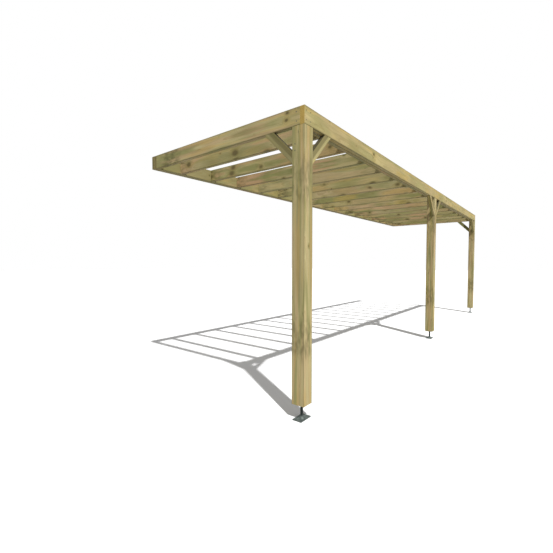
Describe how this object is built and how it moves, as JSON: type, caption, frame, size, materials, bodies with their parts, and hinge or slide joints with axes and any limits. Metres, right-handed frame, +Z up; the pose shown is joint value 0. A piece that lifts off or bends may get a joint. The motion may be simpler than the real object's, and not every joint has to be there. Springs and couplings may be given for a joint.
{
  "type": "lean-to pergola",
  "caption": "Long lean-to pergola of square posts, doubled edge beams, level rafters and knee braces, standing on steel post feet and fixed to a wall.",
  "frame": {"origin": "on the wall face of the ledger, at its mid length and mid height; the ground is 2.4475 m below", "axes": "+X along the wall to the right as seen from the garden, +Y into the wall, +Z up"},
  "size_m": [7.93, 2.13, 2.52],
  "materials": {
    "ledger_timber": "pressure-treated pine, planed",
    "beam_timber": "pressure-treated pine, planed",
    "rafter_timber": "pressure-treated pine, planed",
    "post_timber": "pressure-treated pine, planed",
    "brace_timber": "pressure-treated pine, planed",
    "foot_steel": "hot-dip galvanised, weathered to dull grey"
  },
  "bodies": {
    "root": {"wall_ledger": "ledger_timber", "inner_ledger": "ledger_timber", "front_beam": "beam_timber", "left_inner_front_beam": "beam_timber", "right_inner_front_beam": "beam_timber", "left_side_beam": "beam_timber", "right_side_beam": "beam_timber", "rafter_01": "rafter_timber", "rafter_02": "rafter_timber", "rafter_03": "rafter_timber", "rafter_04": "rafter_timber", "rafter_05": "rafter_timber", "rafter_06": "rafter_timber", "rafter_07": "rafter_timber", "rafter_08": "rafter_timber", "rafter_09": "rafter_timber", "rafter_10": "rafter_timber", "rafter_11": "rafter_timber", "rafter_12": "rafter_timber", "rafter_13": "rafter_timber", "rafter_14": "rafter_timber", "rafter_15": "rafter_timber", "rafter_16": "rafter_timber", "left_post": "post_timber", "middle_post": "post_timber", "right_post": "post_timber", "left_side_brace": "brace_timber", "left_front_brace": "brace_timber", "middle_left_brace": "brace_timber", "middle_right_brace": "brace_timber", "right_front_brace": "brace_timber", "right_side_brace": "brace_timber", "left_post_foot": "foot_steel", "middle_post_foot": "foot_steel", "right_post_foot": "foot_steel"}
  },
  "joints": []
}
